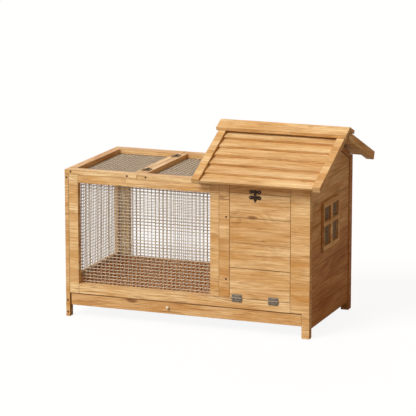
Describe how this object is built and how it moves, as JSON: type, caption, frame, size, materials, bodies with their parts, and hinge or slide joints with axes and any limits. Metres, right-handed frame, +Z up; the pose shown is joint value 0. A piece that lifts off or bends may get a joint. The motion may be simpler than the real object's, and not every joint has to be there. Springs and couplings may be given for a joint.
{
  "type": "rabbit hutch",
  "caption": "Wooden rabbit hutch: a wire run with a lifting lid beside a gabled house with a drop-down door, window and lapped roof, over a pull-out tray.",
  "frame": {"origin": "on the floor, under the middle of the hutch's outline", "axes": "+X from the run towards the house, +Y from the door side to the back, +Z up"},
  "size_m": [0.957, 0.6162, 0.6919],
  "materials": {
    "stained_fir": "satin honey-brown stain",
    "roof_fir": "satin honey-brown stain",
    "welded_wire": "galvanised",
    "hinge_steel": "zinc plated",
    "hinge_bronze": "dark antique bronze",
    "latch_bronze": "dark antique bronze"
  },
  "bodies": {
    "hutch": {"door_hinge_left_frame_leaf": "hinge_steel", "door_hinge_right_frame_leaf": "hinge_steel", "front_bottom_rail": "stained_fir", "front_left_stile": "stained_fir", "front_mesh": "welded_wire", "front_mid_post": "stained_fir", "front_roof_batten_left": "roof_fir", "front_roof_batten_right": "roof_fir", "front_roof_slat_1": "roof_fir", "front_roof_slat_2": "roof_fir", "front_roof_slat_3": "roof_fir", "front_roof_slat_4": "roof_fir", "front_roof_slat_5": "roof_fir", "front_roof_slat_6": "roof_fir", "front_top_rail": "stained_fir", "house_back_wall": "stained_fir", "house_floor": "stained_fir", "house_left_stile": "stained_fir", "house_top_rail": "stained_fir", "latch_strike_plate": "latch_bronze", "left_side_frame": "stained_fir", "left_side_mesh": "welded_wire", "lid_hinge_front_frame_leaf": "hinge_bronze", "lid_hinge_rear_frame_leaf": "hinge_bronze", "partition_wall": "stained_fir", "rear_mesh": "welded_wire", "rear_roof_batten_left": "roof_fir", "rear_roof_batten_right": "roof_fir", "rear_roof_boards": "roof_fir", "rear_run_frame": "stained_fir", "ridge_board_front": "roof_fir", "ridge_board_rear": "roof_fir", "right_corner_board": "stained_fir", "right_gable_board": "stained_fir", "right_gable_rail": "stained_fir", "right_rear_leg": "stained_fir", "right_wall_board_1": "stained_fir", "right_wall_board_2": "stained_fir", "right_wall_board_3": "stained_fir", "run_top_frame": "stained_fir", "run_top_mesh": "welded_wire", "tray_runner_left": "stained_fir", "tray_runner_right": "stained_fir", "window_frame": "stained_fir", "window_mesh": "welded_wire", "wire_floor": "welded_wire"},
    "house_door": {"door_board_lower": "stained_fir", "door_board_upper": "stained_fir", "door_batten_left": "stained_fir", "door_batten_right": "stained_fir", "door_hinge_left_door_leaf": "hinge_steel", "door_hinge_right_door_leaf": "hinge_steel", "latch_door_plate": "latch_bronze"},
    "run_lid": {"lid_frame": "stained_fir", "lid_mesh": "welded_wire", "lid_hinge_front_lid_leaf": "hinge_bronze", "lid_hinge_rear_lid_leaf": "hinge_bronze"},
    "latch": {"latch_flap": "latch_bronze"},
    "tray": {"tray_front": "stained_fir", "tray_pan": "stained_fir"}
  },
  "joints": [
    {"name": "run_lid_hinge", "type": "hinge", "parent": "hutch", "child": "run_lid", "pos_m": [-0.207, -0.02419, 0.528], "axis": [0, 1, 0], "range_deg": [0, 110]},
    {"name": "house_door_hinge", "type": "hinge", "parent": "hutch", "child": "house_door", "pos_m": [0.2428, -0.25999, 0.1215], "axis": [1, 0, 0], "range_deg": [0, 90]},
    {"name": "latch_flap_hinge", "type": "hinge", "parent": "house_door", "child": "latch", "pos_m": [0.2255, -0.26209, 0.48], "axis": [1, 0, 0], "range_deg": [0, 150]},
    {"name": "tray_slide", "type": "slide", "parent": "hutch", "child": "tray", "axis": [0, -1, 0], "range_m": [0, 0.4]}
  ]
}
